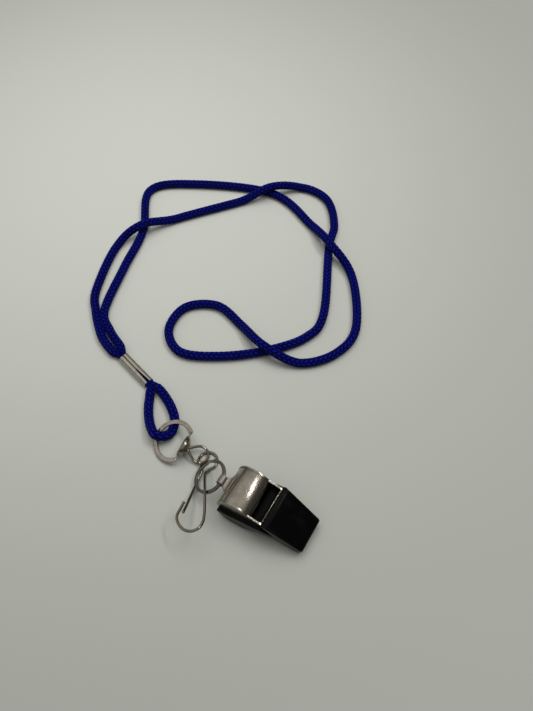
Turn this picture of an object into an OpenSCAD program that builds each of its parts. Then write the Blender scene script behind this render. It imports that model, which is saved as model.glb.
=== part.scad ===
// Pea whistle with a mouth grip, hung on a neck cord by a split ring, a sprung wire
// hook, a swivel and a clip ring. Lengths are in millimetres.
// The whistle lies on the table: the barrel's end plates and the mouth end touch it.
// +X is the way the long pieces lie (mouth end positive), +Y is across, +Z is up.
// The origin is on the table, under the middle of the box round the metal pieces.

/* [Whistle barrel] */
// Radius of the rolled shell
barrel_radius = 10.2; // [7:0.1:14]
// Sheet of the shell, the windway floor and the roof
sheet = 0.7; // [0.4:0.05:1.2]
// Width over the two side plates
barrel_width = 22; // [16:0.5:30]
// Sheet of the side plates
plate_sheet = 1.0; // [0.6:0.05:1.6]
// How far the side plates stand proud of the shell
plate_lip = 0.2; // [0:0.05:0.6]
// Angle of the blowing lip, from straight ahead
lip_angle = 46.5; // [38:0.5:60]
// Radius of the cork pea
pea_radius = 5; // [3:0.1:6.5]
// Gap between the pea and the shell
pea_gap = 0.1; // [0.05:0.05:0.5]

/* [Windway] */
// Distance from the barrel's axis to the roof's rear edge
roof_rear = 12.9; // [11.5:0.1:16]
// Distance from the barrel's axis to the mouth end of the metal
mouth_reach = 37.5; // [28:0.5:44]
// Height of the roof's upper face at its rear edge, over the barrel's axis
roof_height = 9.5; // [8:0.1:11]
// Slope of the windway in degrees
windway_slope = 9.9; // [4:0.1:14]
// Clear height of the windway
windway_height = 3.4; // [2:0.1:4]
// Half width over the side plates at the mouth
mouth_half_width = 8.2; // [6:0.1:10]

/* [Mouth grip] */
// Distance from the barrel's axis to the grip's rear edge
grip_rear = 13.2; // [12:0.1:17]
// Distance from the grip's rear edge to the ridge on its top
grip_ridge = 2.4; // [1:0.1:5]
// How far the grip reaches past the metal
grip_overhang = 0.8; // [0.2:0.1:2]
// Half width of the grip at its rear edge
grip_half_width = 12; // [11.8:0.1:14]
// Half width of the grip at the mouth
grip_mouth_half_width = 9.6; // [8.8:0.1:11]
// Height of the grip's top at the ridge, over the barrel's axis
grip_top = 12; // [11:0.1:14]
// Height of the grip's top at its rear edge
grip_rear_top = 10.6; // [10.5:0.1:12]
// Height of the grip's top at the mouth
grip_mouth_top = 6.3; // [6:0.1:9]
// Height of the grip's underside at its rear edge
grip_bottom = 1.5; // [-1:0.1:3]
// Height of the grip's underside at the mouth
grip_mouth_bottom = -0.6; // [-2:0.1:0]
// Rounding of the grip's corners
grip_round = 1.5; // [0.6:0.1:2.5]
// Gap between the grip and the metal
grip_fit = 0.05; // [0.02:0.01:0.2]
// Thickness of the grip's side wings
wing_thickness = 2; // [1.2:0.1:3]
// Radius of the wings' round rear end
wing_radius = 11; // [10.6:0.1:12]
// Height of the wings' centre over the barrel's axis
wing_rise = 1; // [0.7:0.1:2]
// Slope of the wings' raked upper edge in degrees
wing_rake = 29.3; // [15:0.5:40]
// Height of the raked edge over the barrel's axis, at the axis
wing_edge_height = -1.6; // [-5:0.1:2]

/* [Lanyard lug] */
// Sheet of the folded lug
lug_sheet = 0.8; // [0.5:0.05:1.2]
// Inner radius of the lug's eye
lug_eye_radius = 1.7; // [1.3:0.1:2.5]
// Distance from the barrel's back to the eye's axis
lug_stem = 4.1; // [3.4:0.1:8]
// Height of the eye's axis over the barrel's axis
lug_height = -1.7; // [-4:0.1:2]
// Half width of the lug at the eye
lug_half_width = 2.3; // [1.5:0.1:4]
// Half width of the lug's flared foot
lug_foot_half_width = 5.8; // [4:0.1:9]
// Length of the flare from the barrel's back
lug_flare = 2.8; // [1.5:0.1:4]

/* [Split ring] */
// Radius of the ring's centre line
ring_radius = 8.8; // [8:0.1:12]
// Width of the flat wire in the ring's plane
ring_wire = 1.7; // [1.2:0.1:1.9]
// Thickness of the two turns together
ring_thickness = 1.5; // [1:0.1:1.7]
// Gap between the two turns
ring_gap = 0.06; // [0.04:0.01:0.2]
// Height of the ring's far end over the table
ring_end_height = 3.68; // [3.2:0.02:6]
// Roll of the ring about that slope in degrees
ring_roll = 10; // [0:0.5:15]

/* [Wire hook] */
// Diameter of the wire of the hook and the bail
wire_diameter = 1.5; // [1:0.1:2]
// Length of the hook from its neck to the bend's centre line
hook_length = 38; // [30:0.5:50]
// Width that the hook's outline is drawn on
hook_width = 12; // [9:0.5:16]
// Height that the hook's outline rises to
hook_rise = 16; // [14:0.5:20]
// Radius of the centre line of the hook's eye
hook_eye_radius = 4.9; // [4:0.1:7]
// Gap between the gate's root and the wire it springs from
gate_gap = 0.3; // [0.2:0.05:0.6]

/* [Swivel] */
// Length of the bail from the cup's hole to its centre line
bail_length = 11.4; // [9:0.1:16]
// Half width of the bail's centre line
bail_half_width = 4.4; // [3.5:0.1:6]
// Outer radius of the swivel cup
cup_radius = 5.85; // [4.5:0.05:7]
// Depth of the cup's dome
dome_depth = 2.2; // [1.2:0.1:3.5]
// Length of the cup's straight skirt
skirt_length = 2; // [1.8:0.1:3]
// Sheet of the cup
cup_sheet = 0.7; // [0.4:0.05:1.2]
// Radius of the hole in the dome
cup_hole_radius = 1.85; // [1.7:0.05:2.6]

/* [Clip ring] */
// Radius of the clip ring's centre line
clip_radius = 10.7; // [9.5:0.1:14]
// Width of the clip ring's strip
clip_strip = 2.5; // [1.5:0.1:3]
// Thickness of the strip
clip_thickness = 1.1; // [0.8:0.05:1.6]
// Half of the opening that the cup sits in, in degrees
clip_gap_angle = 50; // [40:1:60]
// Diameter of the tangs that pivot in the cup
tang_diameter = 1.1; // [0.8:0.05:1.5]
// Gap round a tang in its hole
tang_fit = 0.08; // [0.05:0.01:0.2]

/* [Cord and ferrule] */
// Diameter of the braided cord
cord_diameter = 5; // [3:0.1:7]
// Length of the crimped ferrule
ferrule_length = 23.7; // [15:0.1:35]
// Sheet of the ferrule
ferrule_sheet = 0.4; // [0.25:0.05:0.8]
// Inner radius of each of the ferrule's two lobes
lobe_radius = 1.75; // [1.4:0.05:3]
// Distance of each lobe from the ferrule's middle
lobe_offset = 0.85; // [0.5:0.05:1.6]
// Width of the seam at the ferrule's neck end
seam_width = 0.2; // [0.1:0.05:0.6]
// Width of the seam at the ferrule's eye end
seam_mouth = 2; // [0.5:0.1:3]

/* [Hidden] */
$fn = 64;
nickel = [0.70, 0.68, 0.63];
warm_nickel = [0.72, 0.64, 0.58];
black_plastic = [0.03, 0.03, 0.03];
cork = [0.62, 0.46, 0.30];
blue_cord = [0.06, 0.08, 0.42];

// One length past every cut
overrun = 1;

// Middle of the box round the metal pieces, from the table under the barrel's axis
table_middle = [-12.14, -6.3, 0];

// Whistle: the side plates' discs and the grip's lower front edge rest on the table
plate_radius = barrel_radius + plate_lip;
inner_radius = barrel_radius - sheet;
half_width = barrel_width/2;
inner_half_width = half_width - plate_sheet;
grip_front = mouth_reach + grip_overhang;
rest_edge = [grip_front - grip_round, grip_mouth_bottom + grip_round];
pitch = asin((plate_radius - grip_round)/norm(rest_edge)) + atan2(rest_edge.y, rest_edge.x);
function roof_top(x) = roof_height - (x - roof_rear)*tan(windway_slope);
windway_drop = (sheet + windway_height)/cos(windway_slope);
function floor_top(x) = roof_top(x) - windway_drop;
floor_sheet = sheet/cos(windway_slope);
// The shell turns forward into the windway floor
shell_front_angle = 25;
floor_turn_share = 1.6;
floor_rear = barrel_radius + floor_turn_share*sheet;
// The side plates bend inward ahead of the barrel
bend_reach = roof_rear - sheet;
plate_bend = atan((half_width - mouth_half_width)/(mouth_reach - bend_reach));
pea_orbit = inner_radius - pea_radius - pea_gap;

// Grip
wing_inner = half_width;
wing_outer = half_width + wing_thickness;

// Lug: a doubled strip soldered to the barrel's rear
lug_foot_angle = 30;
lug_waist_radius = 4;
lug_reach = barrel_radius + lug_stem;
lug_waist = barrel_radius + lug_flare;

// Side plate: the cheek beside the window starts behind the lip
cheek_turn = 14;

// Ring: it hangs in the lug's eye and its far end lies over the hook's neck
function tip(p) = [p.x*cos(pitch) + p.y*sin(pitch), 0, plate_radius - p.x*sin(pitch) + p.y*cos(pitch)];
lug_eye = tip([-lug_reach, lug_height]);
ring_tilt = asin((lug_eye.z - ring_end_height)/(2*ring_radius));
ring_end = lug_eye.x - 2*ring_radius*cos(ring_tilt);
turn = (ring_thickness - ring_gap)/2;
step_half = ring_wire;
step_angle = atan(step_half/ring_radius);
step_place = 118;
step_lap_share = 1.05;
turn_start_share = 1.15;

// The chain from the hook to the cord is placed from the ring's far end.
// Hook: local x runs from the neck to the bend, local y to the spine's side
hook_neck = [0.7, 3.4];
hook_yaw = -68;
wire_radius = wire_diameter/2;
table_gap = 0.04;
wire_rest = wire_radius + table_gap;
wire_step_share = 1.6;
gate_step_share = 2;
stub_shares = [[0, -0.065, 0.094], [-0.022, -0.058, 0.108]];
spine_shares = [[0.02, 0.17, 0.09], [0.06, 0.13, 0.13], [0.18, 0.20, 0.35], [0.36, 0.34, 0.61],
    [0.55, 0.47, 0.75], [0.73, 0.57, 0.85], [0.84, 0.58, 0.91], [0.93, 0.48, 0.96],
    [0.99, 0.17, 0.98], [0.97, -0.16, 0.94], [0.89, -0.43, 0.88], [0.79, -0.55, 0.80],
    [0.67, -0.48, 0.71], [0.57, -0.41, 0.65]];
gate_shares = [[0.05, -0.08, 0.09], [0.15, -0.14, 0.09], [0.26, -0.21, 0.12],
    [0.36, -0.24, 0.22], [0.50, -0.28, 0.41], [0.63, -0.32, 0.56], [0.73, -0.36, 0.68]];
eye_centre_shares = [-0.147, 0.117];
eye_start = -36;
eye_end = -335;
eye_steps = 20;
// The eye lifts over the bail on the gate's side
eye_lift = 2.2;
eye_lift_angle = -66;
eye_lift_spread = 48;

// Swivel: the cup's skirt is pivoted on the clip ring's tangs
cup_place = [-14.6, 7.6, 6.3];
swivel_roll = 15.5;
swivel_pitch = 21.5;
bail_yaw = 5;
bail_shares = [[0.03, 0.2], [0.3, 0.72], [0.52, 0.98], [0.8, 0.86], [0.97, 0.42]];
leg_gap_share = 0.1;
leg_offset = wire_radius + leg_gap_share*wire_radius;
dome_radius = (cup_radius*cup_radius + dome_depth*dome_depth)/(2*dome_depth);
dome_base = skirt_length/2;
dome_top = dome_base + dome_depth;
foot_reach_share = 1.6;
foot_drop_share = 1.3;
foot_reach = foot_reach_share*wire_diameter;
foot_drop = foot_drop_share*wire_diameter;

// Clip ring
clip_pitch = -11.7;
clip_back = clip_radius*cos(clip_gap_angle);
clip_side = clip_radius*sin(clip_gap_angle);
tang_depth_share = 1.6;
tang_inner = cup_radius - tang_depth_share*cup_sheet;
clip_chamfer_share = 0.25;
clip_chamfer = clip_thickness*clip_chamfer_share;

// Cord: the neck loop's two ends and the eye's two ends meet inside the ferrule
cord_radius = cord_diameter/2;
cord_sides = 10;
ring_spacing_share = 3.5;
ring_spacing = ring_spacing_share*cord_diameter;
short_run_share = 0.3;
ferrule_middle = [-66.1, 34.5, cord_radius];
ferrule_yaw = -16.2;
squeezed_half_width = 1.2;
squeezed_half_height = 1.55;
strand_gap = 0.2;
strand_offset = squeezed_half_width + strand_gap/2;
squeeze_shares = [1, 1, 0.5];
along = [cos(ferrule_yaw), sin(ferrule_yaw), 0];
across = [-sin(ferrule_yaw), cos(ferrule_yaw), 0];
function strand(end, side) = ferrule_middle + along*end*ferrule_length/2 + across*side*strand_offset;
neck_route = [
    [-82.2, 37.3, 2.5], [-86.7, 38, 2.5], [-97.7, 43, 2.5], [-111.7, 55.5, 2.5],
    [-121.7, 69, 2.5], [-131.7, 104, 2.5], [-124.7, 122.5, 7.8], [-111.7, 142.5, 2.5],
    [-83.7, 176.5, 2.5], [-69.2, 194.5, 7.8], [-53.7, 209.5, 2.5], [-33.7, 208.5, 2.5],
    [-18.7, 191, 2.5], [-12.2, 171, 2.5], [8.8, 124.5, 2.5], [7.8, 104, 2.5], [-8.7, 83, 2.5],
    [-30.7, 66, 2.5], [-51.2, 57.5, 2.5], [-65.7, 67, 2.5], [-66.2, 85.5, 2.5],
    [-50.2, 96.5, 2.5], [-30.7, 92, 2.5], [-8.7, 83, 7.8], [13.3, 86.5, 2.5], [28.3, 103, 2.5],
    [30.3, 125.5, 2.5], [10.3, 159, 2.5], [-12.2, 171, 7.8], [-32.7, 183.5, 2.5],
    [-69.2, 194.5, 2.5], [-120.7, 174, 2.5], [-141.7, 154, 2.5], [-124.7, 122.5, 2.5],
    [-117.2, 92, 2.5], [-107.7, 59, 2.5], [-95.7, 48.5, 2.5], [-85.1, 43.4, 2.5],
    [-81.3, 41.3, 2.5]];
eye_route = [
    [-50.2, 31.6, 2.5], [-43.7, 29.6, 2.5], [-35.7, 25.4, 2.5], [-28.9, 19.6, 2.5],
    [-26.1, 12.6, 2.5], [-27.1, 8, 4.4], [-31.2, 5.4, 6], [-36.2, 8, 4.6], [-41.7, 13, 2.5],
    [-46.2, 19, 2.5], [-48.7, 23.5, 2.5], [-51.5, 27.6, 2.5]];

// Smooth curve through points, and the direction of a run of points at one of them
function bend(a, b, c, d, t) = ((2*b) + (c - a)*t + (2*a - 5*b + 4*c - d)*t*t
    + (3*b - a - 3*c + d)*t*t*t)/2;
function point_at(points, i) = points[max(0, min(len(points) - 1, i))];
function steps_at(points, i, spacing) = max(1, ceil(norm(points[i + 1] - points[i])/spacing
    - short_run_share));
function smooth(points, spacing) = [for (i = [0:len(points) - 1])
    each (i == len(points) - 1) ? [points[i]] :
        let (steps = steps_at(points, i, spacing))
        [for (s = [0:steps - 1]) bend(point_at(points, i - 1), points[i], points[i + 1],
            point_at(points, i + 2), s/steps)]];
function heading(points, i) =
    let (run = point_at(points, i + 1) - point_at(points, i - 1)) run/norm(run);

// Tube through points whose half width and half height can change from ring to ring
module tube(points, half_widths, half_heights, sides, turn_share) {
    last = len(points) - 1;
    rings = [for (i = [0:last])
        let (ahead = heading(points, i), side = cross(ahead, [0, 0, 1])/norm(cross(ahead, [0, 0, 1])),
            up = cross(side, ahead))
        for (k = [0:sides - 1])
            let (angle = 360*(k + turn_share)/sides)
            points[i] + side*half_widths[i]*cos(angle) + up*half_heights[i]*sin(angle)];
    quads = [for (i = [0:last - 1], k = [0:sides - 1])
        let (a = i*sides + k, b = i*sides + (k + 1)%sides)
        each [[a, b, b + sides], [a, b + sides, a + sides]]];
    polyhedron(rings, concat([[for (k = [sides - 1:-1:0]) k]], quads,
        [[for (k = [0:sides - 1]) last*sides + k]]), convexity = sides);
}

module wire(points, spacing) {
    path = smooth(points, spacing);
    radii = [for (p = path) wire_radius];
    tube(path, radii, radii, 12, 0.5);
}

module cord(route) {
    path = [for (p = smooth(route, ring_spacing)) [p.x, p.y, max(p.z, cord_radius)]];
    last = len(path) - 1;
    function squeeze(i) = let (n = min(i, last - i)) n < len(squeeze_shares) ? squeeze_shares[n] : 0;
    tube(path, [for (i = [0:last]) cord_radius + (squeezed_half_width - cord_radius)*squeeze(i)],
        [for (i = [0:last]) cord_radius + (squeezed_half_height - cord_radius)*squeeze(i)],
        cord_sides, 0);
}

// Places
module on_table() translate(-table_middle) children();
module on_whistle() on_table() translate([0, 0, plate_radius]) rotate([0, pitch, 0]) children();
module on_chain() on_table() translate([ring_end, 0, 0]) children();
module on_hook() on_chain() translate(hook_neck) rotate(hook_yaw) children();
module on_swivel() on_chain() translate(cup_place) rotate([swivel_roll, 0, 0]) children();

// A profile drawn in the whistle's side view, extruded across it
module across_whistle(from, to) translate([0, to, 0]) rotate([90, 0, 0])
    linear_extrude(to - from) children();

// Plan of the pieces between the side plates ahead of the barrel
module windway_plan() {
    near = inner_half_width;
    far = near - (mouth_reach - bend_reach)*tan(plate_bend);
    linear_extrude(2*plate_radius, center = true)
        polygon([[-barrel_radius - overrun, -near], [bend_reach, -near], [mouth_reach, -far],
            [mouth_reach, far], [bend_reach, near], [-barrel_radius - overrun, near]]);
}

module shell_profile() {
    difference() {
        circle(barrel_radius);
        circle(inner_radius);
        polygon([[0, 0], 2*barrel_radius*[cos(shell_front_angle), sin(shell_front_angle)],
            2*barrel_radius*[cos(lip_angle), sin(lip_angle)]]);
    }
    polygon([inner_radius*[cos(shell_front_angle), sin(shell_front_angle)],
        barrel_radius*[cos(shell_front_angle), sin(shell_front_angle)] - [0, sheet],
        [floor_rear + sheet/2, floor_top(floor_rear) - floor_sheet],
        [mouth_reach, floor_top(mouth_reach) - floor_sheet],
        [mouth_reach, floor_top(mouth_reach)], [floor_rear, floor_top(floor_rear)]]);
}

module barrel_shell() color(nickel) on_whistle() intersection() {
    across_whistle(-inner_half_width, inner_half_width) shell_profile();
    windway_plan();
}

module windway_roof() color(nickel) on_whistle() intersection() {
    across_whistle(-inner_half_width, inner_half_width)
        polygon([[roof_rear, roof_top(roof_rear) - floor_sheet],
            [mouth_reach, roof_top(mouth_reach) - floor_sheet],
            [mouth_reach, roof_top(mouth_reach)], [roof_rear, roof_top(roof_rear)]]);
    windway_plan();
}

// Side view of a side plate: the barrel's disc, the window's cheek and the mouthpiece
module plate_outline() {
    circle(plate_radius);
    cheek = lip_angle + cheek_turn;
    polygon([[0, 0], [bend_reach, floor_top(bend_reach) - floor_sheet - sheet],
        [mouth_reach, floor_top(mouth_reach) - floor_sheet], [mouth_reach, roof_top(mouth_reach)],
        [bend_reach, roof_top(bend_reach)], plate_radius*[cos(cheek), sin(cheek)]]);
}

// Plan of a side plate, bent inward ahead of the barrel
module plate_plan() {
    drop = (mouth_reach - bend_reach)*tan(plate_bend);
    polygon([[-plate_radius - overrun, inner_half_width], [bend_reach, inner_half_width],
        [mouth_reach, inner_half_width - drop], [mouth_reach, half_width - drop],
        [bend_reach, half_width], [-plate_radius - overrun, half_width]]);
}

module side_plate() on_whistle() intersection() {
    across_whistle(0, half_width + overrun) plate_outline();
    linear_extrude(3*plate_radius, center = true) plate_plan();
}

module left_side_plate() color(warm_nickel) side_plate();
module right_side_plate() color(warm_nickel) on_table() mirror([0, 1, 0])
    translate(table_middle) side_plate();

// Doubled strip: two flaps on the barrel, a stem and an open eye
module lug_profile() {
    eye_outer = lug_eye_radius + lug_sheet;
    stem_angle = atan2(lug_height, -lug_reach);
    difference() {
        union() {
            intersection() {
                circle(barrel_radius + lug_sheet);
                polygon([[0, 0], for (side = [-1:1]) let (angle = stem_angle + side*lug_foot_angle)
                    2*lug_reach*[cos(angle), sin(angle)]]);
            }
            polygon([[0, lug_sheet], [-lug_reach, lug_height + lug_sheet],
                [-lug_reach, lug_height - lug_sheet], [0, -lug_sheet]]);
            translate([-lug_reach, lug_height]) circle(eye_outer);
        }
        circle(barrel_radius);
        translate([-lug_reach, lug_height]) circle(lug_eye_radius);
    }
}

module lug_plan() difference() {
    translate([-lug_reach - lug_eye_radius - lug_sheet - overrun, -lug_foot_half_width])
        square([lug_reach, 2*lug_foot_half_width]);
    for (side = [-1, 1]) {
        translate([-lug_waist, side*(lug_half_width + lug_waist_radius)]) circle(lug_waist_radius);
        translate([-lug_waist - lug_reach, side > 0 ? lug_half_width : -lug_half_width - lug_reach])
            square(lug_reach);
    }
}

module lanyard_lug() color(warm_nickel) on_whistle() intersection() {
    across_whistle(-lug_foot_half_width, lug_foot_half_width) lug_profile();
    linear_extrude(2*lug_reach, center = true) lug_plan();
}

// Moulded sleeve over the mouthpiece, with a wing along each side plate
module grip_corner(x, half, z) for (side = [-1, 1])
    translate([x, side*(half - grip_round), z]) sphere(grip_round, $fn = 24);

module grip_body() {
    function half_at(x) = grip_half_width
        - (grip_half_width - grip_mouth_half_width)*(x - grip_rear)/(grip_front - grip_rear);
    rear = grip_rear + grip_round;
    front = grip_front - grip_round;
    ridge = grip_rear + grip_ridge;
    hull() {
        grip_corner(rear, half_at(grip_rear), grip_bottom + grip_round);
        grip_corner(rear, half_at(grip_rear), grip_rear_top - grip_round);
        grip_corner(ridge, half_at(ridge), grip_top - grip_round);
        grip_corner(front, grip_mouth_half_width, grip_mouth_top - grip_round);
        grip_corner(front, grip_mouth_half_width, grip_mouth_bottom + grip_round);
    }
}

// Room for the metal mouthpiece
module grip_bore() {
    near = half_width + grip_fit;
    far = near - (grip_front + overrun - bend_reach)*tan(plate_bend);
    end = grip_front + overrun;
    rear = bend_reach - overrun;
    intersection() {
        linear_extrude(4*plate_radius, center = true)
            polygon([[rear, -near], [bend_reach, -near], [end, -far],
                [end, far], [bend_reach, near], [rear, near]]);
        across_whistle(-barrel_width, barrel_width)
            polygon([[rear, floor_top(bend_reach) - floor_sheet - sheet - grip_fit],
                [end, floor_top(end) - floor_sheet - grip_fit],
                [end, roof_top(end) + grip_fit], [rear, roof_top(rear) + grip_fit]]);
    }
}

// Side view of a wing: round behind, cut off along the rake, running into the sleeve
module wing_profile() {
    root = [grip_rear + grip_round, grip_bottom + grip_round/2];
    root_gap = norm(root - [0, wing_rise]);
    root_angle = atan2(root.y - wing_rise, root.x);
    touch_angle = root_angle - acos(wing_radius/root_gap);
    touch = [wing_radius*cos(touch_angle), wing_rise + wing_radius*sin(touch_angle)];
    span = 2*barrel_width;
    intersection() {
        union() {
            translate([0, wing_rise]) circle(wing_radius);
            polygon([[0, wing_rise], touch, root, [root.x, root.x*tan(wing_rake) + wing_edge_height]]);
        }
        translate([0, wing_edge_height]) rotate(wing_rake) translate([-span, -span]) square([2*span, span]);
    }
}

module mouth_grip() color(black_plastic) on_whistle() {
    difference() {
        grip_body();
        grip_bore();
    }
    for (side = [-1, 1]) {
        low = side > 0 ? wing_inner : -wing_outer;
        difference() {
            across_whistle(low, low + wing_thickness) wing_profile();
            grip_bore();
        }
    }
}

module pea() color(cork) on_table() translate([0, 0, plate_radius - pea_orbit]) sphere(pea_radius);

// Two turns of flat wire with a step from one to the other
module split_ring() color(nickel) on_table() translate(lug_eye) rotate([0, -ring_tilt, 0])
    translate([-ring_radius, 0, 0]) rotate([ring_roll, 0, 0]) rotate(step_place) {
        reach = step_angle*turn_start_share;
        lap = step_half*step_lap_share;
        sweep = 360 - reach - step_angle;
        for (level = [0, 1])
            rotate(level == 0 ? reach : step_angle)
                translate([0, 0, level == 0 ? -ring_thickness/2 : ring_gap/2])
                rotate_extrude(angle = sweep, $fn = 120)
                    translate([ring_radius - ring_wire/2, 0]) square([ring_wire, turn]);
        translate([ring_radius + ring_wire/2, 0, 0]) rotate([90, 0, -90]) linear_extrude(ring_wire)
            polygon([[lap, -ring_thickness/2], [-lap, ring_gap/2],
                [-lap, ring_thickness/2], [lap, -ring_gap/2]]);
    }

function hook_point(s) = [s.x*hook_length, s.y*hook_width, s.z*hook_rise];
function eye_height(angle) = let (turned = abs(angle - eye_lift_angle)/eye_lift_spread)
    wire_rest + (turned < 1 ? eye_lift*cos(90*turned) : 0);
function eye_point(angle) = [eye_centre_shares.x*hook_length + hook_eye_radius*cos(angle),
    eye_centre_shares.y*hook_width + hook_eye_radius*sin(angle), eye_height(angle)];

module hook_wire() color(nickel) on_hook()
    wire(concat([for (s = stub_shares) hook_point(s)],
        [for (i = [0:eye_steps]) eye_point(eye_start + (eye_end - eye_start)*i/eye_steps)],
        [for (s = spine_shares) hook_point(s)]), wire_step_share*wire_diameter);

module gate_wire() color(nickel) on_hook() {
    root = hook_point(stub_shares[0]);
    out = root - hook_point(stub_shares[1]);
    wire(concat([root + out*(gate_gap/norm(out))], [for (s = gate_shares) hook_point(s)]),
        gate_step_share*wire_diameter);
}

// Bail: both feet are spread behind the cup's hole
bail_half = concat([[-foot_drop, foot_reach], [wire_radius/4 - foot_drop, foot_reach/2],
    [-wire_radius, leg_offset]],
    [for (s = bail_shares) [s.x*bail_length, s.y*bail_half_width]]);
function bail_place(p) = let (yaw = p.x > 0 ? bail_yaw : 0)
    [p.x*cos(yaw) - p.y*sin(yaw), p.x*sin(yaw) + p.y*cos(yaw), 0];

module swivel_bail() color(nickel) on_swivel() rotate([0, swivel_pitch, 0]) translate([dome_top, 0, 0])
    wire([for (p = concat(bail_half, [[bail_length, 0]],
        [for (i = [len(bail_half) - 1:-1:0]) [bail_half[i].x, -bail_half[i].y]])) bail_place(p)],
        wire_step_share*wire_diameter);

module cup_profile(inset) {
    translate([0, dome_top - dome_radius]) intersection() {
        circle(dome_radius - inset, $fn = 120);
        translate([0, dome_radius - dome_depth]) square([cup_radius - inset, dome_depth]);
    }
    translate([0, -dome_base]) square([cup_radius - inset, skirt_length]);
}

module swivel_cup() color(nickel) on_swivel() rotate([0, swivel_pitch, 0]) difference() {
    rotate([0, 90, 0]) difference() {
        rotate_extrude() cup_profile(0);
        rotate_extrude() cup_profile(cup_sheet);
        translate([0, 0, -dome_base - overrun])
            cylinder(r = cup_radius - cup_sheet, h = overrun + cup_sheet);
        cylinder(r = cup_hole_radius, h = dome_top + overrun);
    }
    rotate([90, 0, 0]) cylinder(d = tang_diameter + 2*tang_fit, h = 3*cup_radius, center = true);
}

module clip_ring() color(warm_nickel) on_swivel() rotate([0, clip_pitch, 0]) {
    translate([-clip_back, 0, 0]) rotate(clip_gap_angle)
        rotate_extrude(angle = 360 - 2*clip_gap_angle, $fn = 120)
            translate([clip_radius, 0]) clip_section();
    for (side = [-1, 1])
        translate([0, side*tang_inner, 0]) rotate([-90*side, 0, 0])
            cylinder(d = tang_diameter, h = clip_side - tang_inner + clip_strip/3);
}

module clip_section() polygon([[-clip_strip/2, clip_chamfer - clip_thickness/2],
    [clip_chamfer - clip_strip/2, -clip_thickness/2], [clip_strip/2 - clip_chamfer, -clip_thickness/2],
    [clip_strip/2, clip_chamfer - clip_thickness/2], [clip_strip/2, clip_thickness/2 - clip_chamfer],
    [clip_strip/2 - clip_chamfer, clip_thickness/2], [clip_chamfer - clip_strip/2, clip_thickness/2],
    [-clip_strip/2, clip_thickness/2 - clip_chamfer]]);

// Sheet rolled round both strands from below, its edges meeting along the top
module ferrule() color(warm_nickel) on_chain() translate(ferrule_middle) rotate(ferrule_yaw) difference() {
    rotate([90, 0, 90]) linear_extrude(ferrule_length, center = true) difference() {
        for (side = [-1, 1]) translate([side*lobe_offset, 0]) circle(lobe_radius + ferrule_sheet);
        for (side = [-1, 1]) translate([side*lobe_offset, 0]) circle(lobe_radius);
    }
    linear_extrude(lobe_radius + 2*ferrule_sheet)
        polygon([[-ferrule_length/2 - overrun, -seam_width/2], [0, -seam_width/2],
            [ferrule_length/2 + overrun, -seam_mouth/2], [ferrule_length/2 + overrun, seam_mouth/2],
            [0, seam_width/2], [-ferrule_length/2 - overrun, seam_width/2]]);
}

module neck_cord() color(blue_cord) on_chain()
    cord(concat([strand(0, -1), strand(-1, -1)], neck_route, [strand(-1, 1), strand(0, 1)]));

module eye_cord() color(blue_cord) on_chain()
    cord(concat([strand(0, 1), strand(1, 1)], eye_route, [strand(1, -1), strand(0, -1)]));

barrel_shell();
left_side_plate();
right_side_plate();
windway_roof();
lanyard_lug();
mouth_grip();
pea();
split_ring();
hook_wire();
gate_wire();
swivel_bail();
swivel_cup();
clip_ring();
ferrule();
neck_cord();
eye_cord();
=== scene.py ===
# %% [markdown]
# # A pea whistle on a braided neck cord
#
# The CAD model gives the true sizes, the joints and the plain shapes. This lesson
# dresses it: rolled sheet metal, bent wire, a moulded mouth grip, a cork pea and a
# braided cord, each with a finish of its own. Everything is drawn in millimetres
# and turned into metres once, when a piece is finished. The first cell also clears
# away the cube, lamp and camera that a new Blender file brings.

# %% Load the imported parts
import math

import bmesh
import bpy
import numpy as np
from mathutils import Matrix, Vector


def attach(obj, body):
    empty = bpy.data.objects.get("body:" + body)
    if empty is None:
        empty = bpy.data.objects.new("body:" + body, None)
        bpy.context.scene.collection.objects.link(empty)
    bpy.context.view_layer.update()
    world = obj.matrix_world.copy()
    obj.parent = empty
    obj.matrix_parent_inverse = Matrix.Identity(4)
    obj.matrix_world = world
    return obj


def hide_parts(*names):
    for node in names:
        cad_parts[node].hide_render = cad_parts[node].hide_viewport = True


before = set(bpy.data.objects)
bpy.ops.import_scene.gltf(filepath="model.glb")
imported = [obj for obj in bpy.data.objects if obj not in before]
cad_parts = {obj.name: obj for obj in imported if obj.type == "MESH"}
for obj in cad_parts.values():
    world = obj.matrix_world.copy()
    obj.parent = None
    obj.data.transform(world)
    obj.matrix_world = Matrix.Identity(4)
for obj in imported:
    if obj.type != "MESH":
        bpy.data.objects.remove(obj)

MM = 0.001
for spare in [o for o in bpy.data.objects if o.type in {"MESH", "LIGHT", "CAMERA"}]:
    if spare.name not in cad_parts:
        bpy.data.objects.remove(spare)
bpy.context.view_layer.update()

# %% [markdown]
# ## The camera
#
# The photo looks down on a table from about 60 degrees up, over the whistle
# towards the cord. The camera is put where four known points of the whistle and
# the ferrule fall on their places in the picture. It has no tilt to either side.

# %% Camera
viewpoint = Vector((80.84, -89.4, 344.3)) * MM
looking = Vector((-0.2614, 0.4437, -0.8572)).normalized()
rightward = looking.cross(Vector((0, 0, 1))).normalized()
upward = rightward.cross(looking)
lens = bpy.data.cameras.new("camera")
lens.sensor_width = 36
lens.lens = 34.43
camera = bpy.data.objects.new("camera", lens)
turned = Matrix((rightward, upward, -looking)).transposed().to_4x4()
camera.matrix_world = Matrix.Translation(viewpoint) @ turned
bpy.context.scene.collection.objects.link(camera)
bpy.context.scene.camera = camera
print("camera height in mm:", round(viewpoint.z / MM, 1))

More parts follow.
